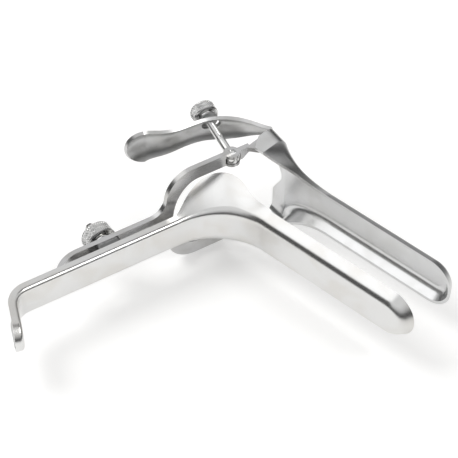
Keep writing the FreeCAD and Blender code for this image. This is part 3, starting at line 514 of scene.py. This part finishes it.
@dataclass
class KnurledNut:
    """A nut with a smooth domed hub towards the plate and a diamond-knurled rim."""

    node: str
    body: str
    origin: tuple[float, float, float]
    axis: tuple[float, float, float]
    bore_radius: float
    hub_radius: float
    hub_height: float
    rim_radius: float
    rim_height: float
    teeth: int = 44
    knurl_pitch: float = 1.0 * MM
    knurl_depth: float = 0.38 * MM
    bevel: float = 0.45 * MM
    groove_width: float = 0.6 * MM
    groove_depth: float = 0.7 * MM
    face_dish: float = 0.35 * MM
    shoulder: float = 0.72 * MM
    land_end: float = 1.35 * MM
    dish_start: float = 1.62 * MM
    boss_width: float = 1.5 * MM
    boss_slope: float = 0.3 * MM
    mouth: float = 0.25 * MM
    mouth_depth: float = 0.4 * MM
    lip: float = 0.15 * MM
    step: float = 0.1 * MM
    set_in: float = 0.02 * MM
    dome_share: float = 0.75
    dome_steps: int = 8
    rim_rings: int = 40
    faces_per_tooth: int = 8
    crease_angle: float = 28.0

    def profile(self) -> Profile:
        """The rings from the bore round the hub, the rim and the outer face."""
        bore, hub, rim, step = self.bore_radius, self.hub_radius, self.rim_radius, self.step
        low, top = self.hub_height, self.hub_height + self.rim_height
        groove, groove_floor = hub + self.groove_width, low + self.groove_depth
        boss, dished = bore + self.boss_width, top - self.face_dish
        dome, crest = low * self.dome_share, rim - self.set_in
        rings: Profile = [(bore, self.mouth, 0.0), (bore + self.mouth, 0.0, 0.0)]
        for index in range(self.dome_steps + 1):
            angle = math.radians(90 * index / self.dome_steps)
            rings.append((hub - dome + dome * math.sin(angle), dome * (1 - math.cos(angle)), 0.0))
        rings += [(hub, groove_floor, 0.0), (groove, groove_floor, 0.0), (groove, low + self.lip, 0.0),
                  (groove + self.lip, low, 0.0), (rim - self.shoulder, low, 0.0),
                  (rim - self.bevel, low + step, 0.0)]
        rings += span((crest, low + self.bevel), (crest, top - self.bevel), self.rim_rings, 1.0)
        rings += [(rim - self.bevel, top - step, 0.0), (rim - self.shoulder, top, 0.0),
                  (rim - self.land_end, top, 0.0), (rim - self.dish_start, dished, 0.0),
                  (boss + self.boss_slope, dished, 0.0), (boss, top - step, 0.0),
                  (bore + self.boss_slope, top - step, 0.0), (bore, top - self.mouth_depth, 0.0)]
        return rings

    def build(self, cutter: RidgeCutter, paints: Paintbox) -> None:
        """Builds the nut in place of its plain CAD node.

        Args:
            cutter: The tree that cuts the knurl.
            paints: The finishes.
        """
        sides = self.teeth * self.faces_per_tooth
        piece = new_piece(f"{self.node}_knurled", turned_mesh(self.node, self.profile(), sides, closed=True))
        cutter.cut(piece, self.teeth, self.knurl_pitch, self.knurl_depth, Ridge.DIAMOND_KNURL,
                   paints.of(TURNED))
        piece.data.transform(axis_matrix(Vector(self.origin), Vector(self.axis)))
        soften(piece.data, self.crease_angle)
        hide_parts(self.node)
        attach(piece, self.body)
        log.info("%s: knurled rim with %d starts each way", piece.name, self.teeth)


@dataclass
class LockingStud:
    """The threaded stud fixed in the handle, which carries the guide block and the locking nut."""

    node: str = "handle_stud"
    body: str = "handle"
    radius: float = 2.0 * MM
    start: float = 1.3 * MM
    plain_end: float = 10.8 * MM
    end: float = 24.4 * MM
    pitch: float = 0.7 * MM
    depth: float = 0.26 * MM
    end_slope: float = 0.45 * MM
    end_fall: float = 0.4 * MM

    def build(self, cutter: RidgeCutter, paints: Paintbox) -> None:
        """Builds the stud in place of its plain CAD node.

        Args:
            cutter: The tree that cuts the thread.
            paints: The finishes.
        """
        radius, end = self.radius, self.end
        turns = (end - self.plain_end) / self.pitch
        rings: Profile = [(0.0, self.start, 0.0), (radius, self.start, 0.0),
                          (radius, self.plain_end - THREAD_RELIEF, 0.0)]
        rings += span((radius, self.plain_end), (radius, end - self.end_slope),
                      int(RINGS_PER_TURN * turns), 1.0)
        rings += [(radius - self.end_fall, end, 0.0), (0.0, end, 0.0)]
        piece = new_piece("locking_stud", turned_mesh("locking_stud", rings, THREAD_SIDES, closed=False))
        cutter.cut(piece, 1, self.pitch, self.depth, Ridge.THREAD, paints.of(TURNED))
        piece.data.transform(axis_matrix(Vector((0, 0, 0)), Vector((-1, 0, 0))))
        soften(piece.data)
        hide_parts(self.node)
        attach(piece, self.body)
        log.info("locking_stud: thread of %.0f turns", turns)


@dataclass
class AdjustingRod:
    """The threaded rod with an eye that swings on the frame's swivel pin."""

    node: str = "adjusting_rod"
    body: str = "rod"
    pivot: tuple[float, float, float] = (-9.85 * MM, 62.7 * MM, 21.0 * MM)
    heading: float = 170.5
    radius: float = 1.8 * MM
    neck_radius: float = 1.3 * MM
    neck_end: float = 3.8 * MM
    length: float = 35.0 * MM
    eye_radius: float = 3.3 * MM
    eye_bore: float = 1.15 * MM
    eye_half: float = 1.35 * MM
    eye_edge: float = 0.3 * MM
    eye_sides: int = 64
    corner_share: float = 0.3
    root: float = 0.4 * MM
    taper: float = 2.0
    pitch: float = 0.7 * MM
    depth: float = 0.24 * MM
    plain_length: float = 6.0 * MM
    end_bevel: float = 0.5 * MM

    def axis(self) -> Vector:
        """The rod's direction at rest."""
        turn = math.radians(self.heading)
        return Vector((math.cos(turn), math.sin(turn), 0.0))

    def eye_mesh(self) -> bpy.types.Mesh:
        """The eye, rounded at its edges, about the pin's axis."""
        edge, half_edge, corner = self.eye_edge, self.eye_edge / 2, self.corner_share * self.eye_edge
        inside, outside, half = self.eye_bore, self.eye_radius, self.eye_half
        rings = [(inside, -half + half_edge, 0.0), (inside + half_edge, -half, 0.0),
                 (outside - edge, -half, 0.0), (outside - corner, -half + corner, 0.0),
                 (outside, -half + edge, 0.0), (outside, half - edge, 0.0),
                 (outside - corner, half - corner, 0.0), (outside - edge, half, 0.0),
                 (inside + half_edge, half, 0.0), (inside, half - half_edge, 0.0)]
        mesh = turned_mesh("rod eye", rings, self.eye_sides, closed=True)
        mesh.transform(Matrix.Translation(Vector(self.pivot)))
        return mesh

    def build(self, cutter: RidgeCutter, paints: Paintbox) -> None:
        """Builds the rod in place of its plain CAD node.

        Args:
            cutter: The tree that cuts the thread.
            paints: The finishes.
        """
        start = self.eye_bore + self.root
        shaft_start = self.neck_end + self.taper * (self.radius - self.neck_radius)
        thread_start = shaft_start + self.plain_length
        turns = (self.length - thread_start) / self.pitch
        rings: Profile = [(0.0, start, 0.0), (self.neck_radius, start, 0.0),
                          (self.neck_radius, self.neck_end, 0.0), (self.radius, shaft_start, 0.0),
                          (self.radius, thread_start - THREAD_RELIEF, 0.0)]
        rings += span((self.radius, thread_start), (self.radius, self.length - self.end_bevel),
                      int(RINGS_PER_TURN * turns), 1.0)
        rings += [(self.radius - self.end_bevel, self.length, 0.0), (0.0, self.length, 0.0)]
        shaft = turned_mesh("threaded rod", rings, THREAD_SIDES, closed=False)
        piece = new_piece("adjusting_rod_threaded", shaft)
        cutter.cut(piece, 1, self.pitch, self.depth, Ridge.THREAD, paints.of(TURNED))
        piece.data.transform(axis_matrix(Vector(self.pivot), self.axis()))
        joined = bmesh.new()
        joined.from_mesh(piece.data)
        joined.from_mesh(self.eye_mesh())
        joined.to_mesh(piece.data)
        joined.free()
        soften(piece.data)
        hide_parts(self.node)
        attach(piece, self.body)
        log.info("%s: thread of %.0f turns and an eye", piece.name, turns)


@dataclass
class Blades:
    """The two pressed blades, the lever welded to the upper one, and their hinge rivets."""

    lower: str = "lower_blade"
    upper: str = "upper_blade"
    lever: str = "thumb_lever"
    rivets: str = "hinge_rivets"

    def build(self, frame: dict, paints: Paintbox) -> None:
        """Dresses the blades.

        Args:
            paints: The finishes.
        """
        paints.dress(frame, PRESSED, self.lower)
        paints.dress(frame, EARED, self.upper, self.rivets)
        paints.dress(frame, LEVER, self.lever)


@dataclass
class SlidingFrame:
    """The slotted frame, what guides and clamps it, and the swivel that carries the adjusting rod."""

    lock_origin: tuple[float, float, float] = (-11.9 * MM, 0.0, 0.0)
    nut_distance: float = 26.35 * MM
    rod: AdjustingRod = field(default_factory=AdjustingRod)
    stud: LockingStud = field(default_factory=LockingStud)

    def build(self, frame: dict, paints: Paintbox, cutter: RidgeCutter) -> None:
        """Dresses the frame and builds its stud, rod and nuts.

        Args:
            paints: The finishes.
            cutter: The tree that cuts threads and knurls.
        """
        paints.dress(frame, PLATE, "yoke_frame")
        # The guide block gets its painted shade here: steel darkened to stand in for the shade of its gap
        paints.dress(frame, BLOCK_PAINTED_SHADE, "guide_block")
        paints.dress(frame, WASHER, "lock_washer", "adjusting_washer")
        paints.dress(frame, TURNED, "swivel_pin", "stud_stop")
        self.stud.build(cutter, paints)
        self.rod.build(cutter, paints)
        axis = self.rod.axis()
        seat = Vector(self.rod.pivot) + axis * self.nut_distance
        locking = KnurledNut(
            "lock_knob", "stud_knob", origin=self.lock_origin, axis=(-1.0, 0.0, 0.0), bore_radius=2.06 * MM,
            hub_radius=4.4 * MM, hub_height=1.6 * MM, rim_radius=7.0 * MM, rim_height=6.2 * MM)
        adjusting = KnurledNut(
            "adjusting_nut", "rod_nut", origin=tuple(seat), axis=tuple(axis), bore_radius=1.86 * MM,
            hub_radius=3.7 * MM, hub_height=1.4 * MM, rim_radius=5.8 * MM, rim_height=5.4 * MM, teeth=38,
            knurl_pitch=0.95 * MM, knurl_depth=0.34 * MM)
        for nut in (locking, adjusting):
            nut.build(cutter, paints)


@dataclass(frozen=True)
class SoftBox:
    """A bright or dark field of the studio, as polished steel mirrors it, with its angles in degrees."""

    towards: tuple[float, float, float]
    inner: float
    outer: float
    level: float


@dataclass(frozen=True)
class SoftLamp:
    """A round area lamp: its place and width in metres and its power in watts."""

    name: str
    place: tuple[float, float, float]
    width: float
    power: float


@dataclass
class Studio:
    """The floor, the world, the lamps and the camera."""

    floor_height: float = -25.6 * MM
    floor_reach: float = 3.0
    camera_place: tuple[float, float, float] = (530.18 * MM, -284.86 * MM, 601.58 * MM)
    azimuth: float = 57.339
    elevation: float = 44.154
    focal_pixels: float = 2028.0
    air_level: float = 0.55
    floor_glow: float = 0.30
    sensor_width: float = 36.0
    near_clip: float = 0.01
    lamp_target: tuple[float, float, float] = (0.02, 0.03, 0.0)
    lamps: Sequence[SoftLamp] = (
        SoftLamp("key", (-0.36, -0.40, 0.78), width=0.50, power=3.4),
        SoftLamp("side", (0.50, 0.36, 0.62), width=0.22, power=0.9),
    )
    # Each height runs from 0 straight down to 1 straight up, and has its level of light
    wall_levels: Sequence[tuple[float, float]] = (
        (0.0, 0.35), (0.46, 0.30), (0.48, 0.07), (0.58, 0.09), (0.70, 0.55), (0.86, 0.85), (1.0, 0.75))
    boxes: Sequence[SoftBox] = (
        SoftBox((0.00, 0.45, 0.89), inner=8.0, outer=20.0, level=0.12),
        SoftBox((-0.33, -0.88, 0.30), inner=20.0, outer=36.0, level=0.09),
        SoftBox((-0.40, -0.40, 0.82), inner=18.0, outer=32.0, level=1.42),
        SoftBox((0.52, 0.39, 0.76), inner=10.0, outer=15.0, level=5.0),
    )
    near_floor: float = 0.12
    far_floor: float = 0.34
    far_level: float = 0.10

    def seen_colour(self, tree: bpy.types.NodeTree) -> bpy.types.NodeSocket:
        """The studio as steel mirrors it: a dark horizon, a pale ceiling and soft boxes.

        Args:
            tree: The world's node tree.

        Returns:
            The socket that carries the colour.
        """
        place = tree.nodes.new("ShaderNodeTexCoord")
        split = tree.nodes.new("ShaderNodeSeparateXYZ")
        tree.links.new(place.outputs["Generated"], split.inputs["Vector"])
        half = tree.nodes.new("ShaderNodeMath")
        half.operation = "MULTIPLY_ADD"
        half.inputs[1].default_value = 0.5
        half.inputs[2].default_value = 0.5
        tree.links.new(split.outputs["Z"], half.inputs[0])
        walls = tree.nodes.new("ShaderNodeValToRGB")
        steps = walls.color_ramp.elements
        while len(steps) < len(self.wall_levels):
            steps.new(0.5)
        for step, (height, level) in zip(steps, self.wall_levels):
            step.position = height
            step.color = (level, level, level, 1.0)
        tree.links.new(half.outputs["Value"], walls.inputs["Fac"])
        colour = walls.outputs["Color"]
        for box in self.boxes:
            aim = tree.nodes.new("ShaderNodeVectorMath")
            aim.operation = "DOT_PRODUCT"
            aim.inputs[1].default_value = Vector(box.towards).normalized()
            tree.links.new(place.outputs["Generated"], aim.inputs[0])
            edge = tree.nodes.new("ShaderNodeMapRange")
            edge.interpolation_type = "SMOOTHSTEP"
            edge.inputs["From Min"].default_value = math.cos(math.radians(box.outer))
            edge.inputs["From Max"].default_value = math.cos(math.radians(box.inner))
            tree.links.new(aim.outputs["Value"], edge.inputs["Value"])
            blend = tree.nodes.new("ShaderNodeMix")
            blend.data_type = "RGBA"
            blend.clamp_result = False
            blend.inputs["B"].default_value = (box.level, box.level, box.level, 1.0)
            tree.links.new(edge.outputs["Result"], blend.inputs["Factor"])
            tree.links.new(colour, blend.inputs["A"])
            colour = blend.outputs["Result"]
        return colour

    def build_world(self) -> None:
        """A world that is white to the eye, a studio to polished steel, and even light otherwise."""
        world = bpy.data.worlds.new("studio air")
        bpy.context.scene.world = world
        world.use_nodes = True
        tree = world.node_tree
        tree.nodes.clear()
        output = tree.nodes.new("ShaderNodeOutputWorld")
        air = tree.nodes.new("ShaderNodeBackground")
        air.inputs["Color"].default_value = (1.0, 1.0, 1.0, 1.0)
        air.inputs["Strength"].default_value = self.air_level
        mirrored = tree.nodes.new("ShaderNodeBackground")
        tree.links.new(self.seen_colour(tree), mirrored.inputs["Color"])
        white = tree.nodes.new("ShaderNodeBackground")
        white.inputs["Color"].default_value = (1.0, 1.0, 1.0, 1.0)
        path = tree.nodes.new("ShaderNodeLightPath")
        clear = tree.nodes.new("ShaderNodeMath")
        clear.operation = "MAXIMUM"
        tree.links.new(path.outputs["Is Glossy Ray"], clear.inputs[0])
        tree.links.new(path.outputs["Is Transmission Ray"], clear.inputs[1])
        for_steel = tree.nodes.new("ShaderNodeMixShader")
        tree.links.new(clear.outputs["Value"], for_steel.inputs["Fac"])
        tree.links.new(air.outputs["Background"], for_steel.inputs[1])
        tree.links.new(mirrored.outputs["Background"], for_steel.inputs[2])
        for_eye = tree.nodes.new("ShaderNodeMixShader")
        tree.links.new(path.outputs["Is Camera Ray"], for_eye.inputs["Fac"])
        tree.links.new(for_steel.outputs["Shader"], for_eye.inputs[1])
        tree.links.new(white.outputs["Background"], for_eye.inputs[2])
        tree.links.new(for_eye.outputs["Shader"], output.inputs["Surface"])

    def floor_material(self) -> bpy.types.Material:
        """A pale floor, white to the eye outside the shadow and dark in the steel's mirror far off."""
        material = bpy.data.materials.new("pale floor")
        material.use_nodes = True
        tree = material.node_tree
        surface = tree.nodes["Principled BSDF"]
        surface.inputs["Roughness"].default_value = 0.9
        path = tree.nodes.new("ShaderNodeLightPath")
        place = tree.nodes.new("ShaderNodeTexCoord")
        reach = tree.nodes.new("ShaderNodeVectorMath")
        reach.operation = "LENGTH"
        tree.links.new(place.outputs["Object"], reach.inputs[0])
        far = tree.nodes.new("ShaderNodeMapRange")
        far.interpolation_type = "SMOOTHSTEP"
        far.inputs["From Min"].default_value = self.near_floor
        far.inputs["From Max"].default_value = self.far_floor
        tree.links.new(reach.outputs["Value"], far.inputs["Value"])
        dark = tree.nodes.new("ShaderNodeMath")
        dark.operation = "MULTIPLY"
        tree.links.new(far.outputs["Result"], dark.inputs[0])
        tree.links.new(path.outputs["Is Glossy Ray"], dark.inputs[1])
        colour = tree.nodes.new("ShaderNodeMix")
        colour.data_type = "RGBA"
        colour.inputs["A"].default_value = (0.88, 0.875, 0.865, 1.0)
        colour.inputs["B"].default_value = (self.far_level, self.far_level, self.far_level, 1.0)
        tree.links.new(dark.outputs["Value"], colour.inputs["Factor"])
        tree.links.new(colour.outputs["Result"], surface.inputs["Base Color"])
        near = tree.nodes.new("ShaderNodeMath")
        near.operation = "SUBTRACT"
        tree.links.new(path.outputs["Is Glossy Ray"], near.inputs[0])
        tree.links.new(dark.outputs["Value"], near.inputs[1])
        seen = tree.nodes.new("ShaderNodeMath")
        seen.operation = "MAXIMUM"
        tree.links.new(path.outputs["Is Camera Ray"], seen.inputs[0])
        tree.links.new(near.outputs["Value"], seen.inputs[1])
        level = tree.nodes.new("ShaderNodeMath")
        level.operation = "MULTIPLY"
        level.inputs[1].default_value = self.floor_glow
        tree.links.new(seen.outputs["Value"], level.inputs[0])
        glow = tree.nodes.new("ShaderNodeEmission")
        glow.inputs["Color"].default_value = (1.0, 1.0, 1.0, 1.0)
        tree.links.new(level.outputs["Value"], glow.inputs["Strength"])
        both = tree.nodes.new("ShaderNodeAddShader")
        tree.links.new(surface.outputs["BSDF"], both.inputs[0])
        tree.links.new(glow.outputs["Emission"], both.inputs[1])
        tree.links.new(both.outputs["Shader"], tree.nodes["Material Output"].inputs["Surface"])
        return material

    def build_floor(self) -> None:
        """A wide pale floor that keeps the object's shadow."""
        reach, height = self.floor_reach, self.floor_height
        mesh = bpy.data.meshes.new("studio floor")
        mesh.from_pydata([(-reach, -reach, height), (reach, -reach, height), (reach, reach, height),
                          (-reach, reach, height)], [], [(0, 1, 2, 3)])
        mesh.materials.append(self.floor_material())
        new_piece("studio_floor", mesh)

    def build_lamps(self) -> None:
        """Soft area lamps aimed at the middle of the object."""
        target = Vector(self.lamp_target)
        for lamp in self.lamps:
            light = bpy.data.lights.new(lamp.name, "AREA")
            light.shape = "DISK"
            light.size = lamp.width
            light.energy = lamp.power
            item = bpy.data.objects.new(lamp.name, light)
            item.location = lamp.place
            item.rotation_euler = (target - Vector(lamp.place)).to_track_quat("-Z", "Y").to_euler()
            item.visible_glossy = False
            bpy.context.scene.collection.objects.link(item)

    def build_camera(self) -> None:
        """The camera at the photograph's place and angle."""
        turn, rise = math.radians(self.azimuth), math.radians(self.elevation)
        back = Vector((math.sin(turn) * math.cos(rise), -math.cos(turn) * math.cos(rise), math.sin(rise)))
        lens = bpy.data.cameras.new("photo camera")
        lens.sensor_fit = "HORIZONTAL"
        lens.sensor_width = self.sensor_width
        lens.lens = self.sensor_width * self.focal_pixels / PHOTO_PIXELS
        lens.clip_start = self.near_clip
        camera = bpy.data.objects.new("photo_camera", lens)
        camera.location = self.camera_place
        camera.rotation_euler = (-back).to_track_quat("-Z", "Y").to_euler()
        bpy.context.scene.collection.objects.link(camera)
        bpy.context.scene.camera = camera

    def build(self) -> None:
        """Sets up everything round the object."""
        self.build_world()
        self.build_floor()
        self.build_lamps()
        self.build_camera()
        bpy.context.scene.view_settings.view_transform = "Standard"


def main() -> None:
    """Dresses the model and builds the studio."""
    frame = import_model()
    paints = Paintbox(ShaderGroups())
    cutter = RidgeCutter()
    Blades().build(frame, paints)
    SlidingFrame().build(frame, paints, cutter)
    Studio().build()


if __name__ == "__main__":
    main()
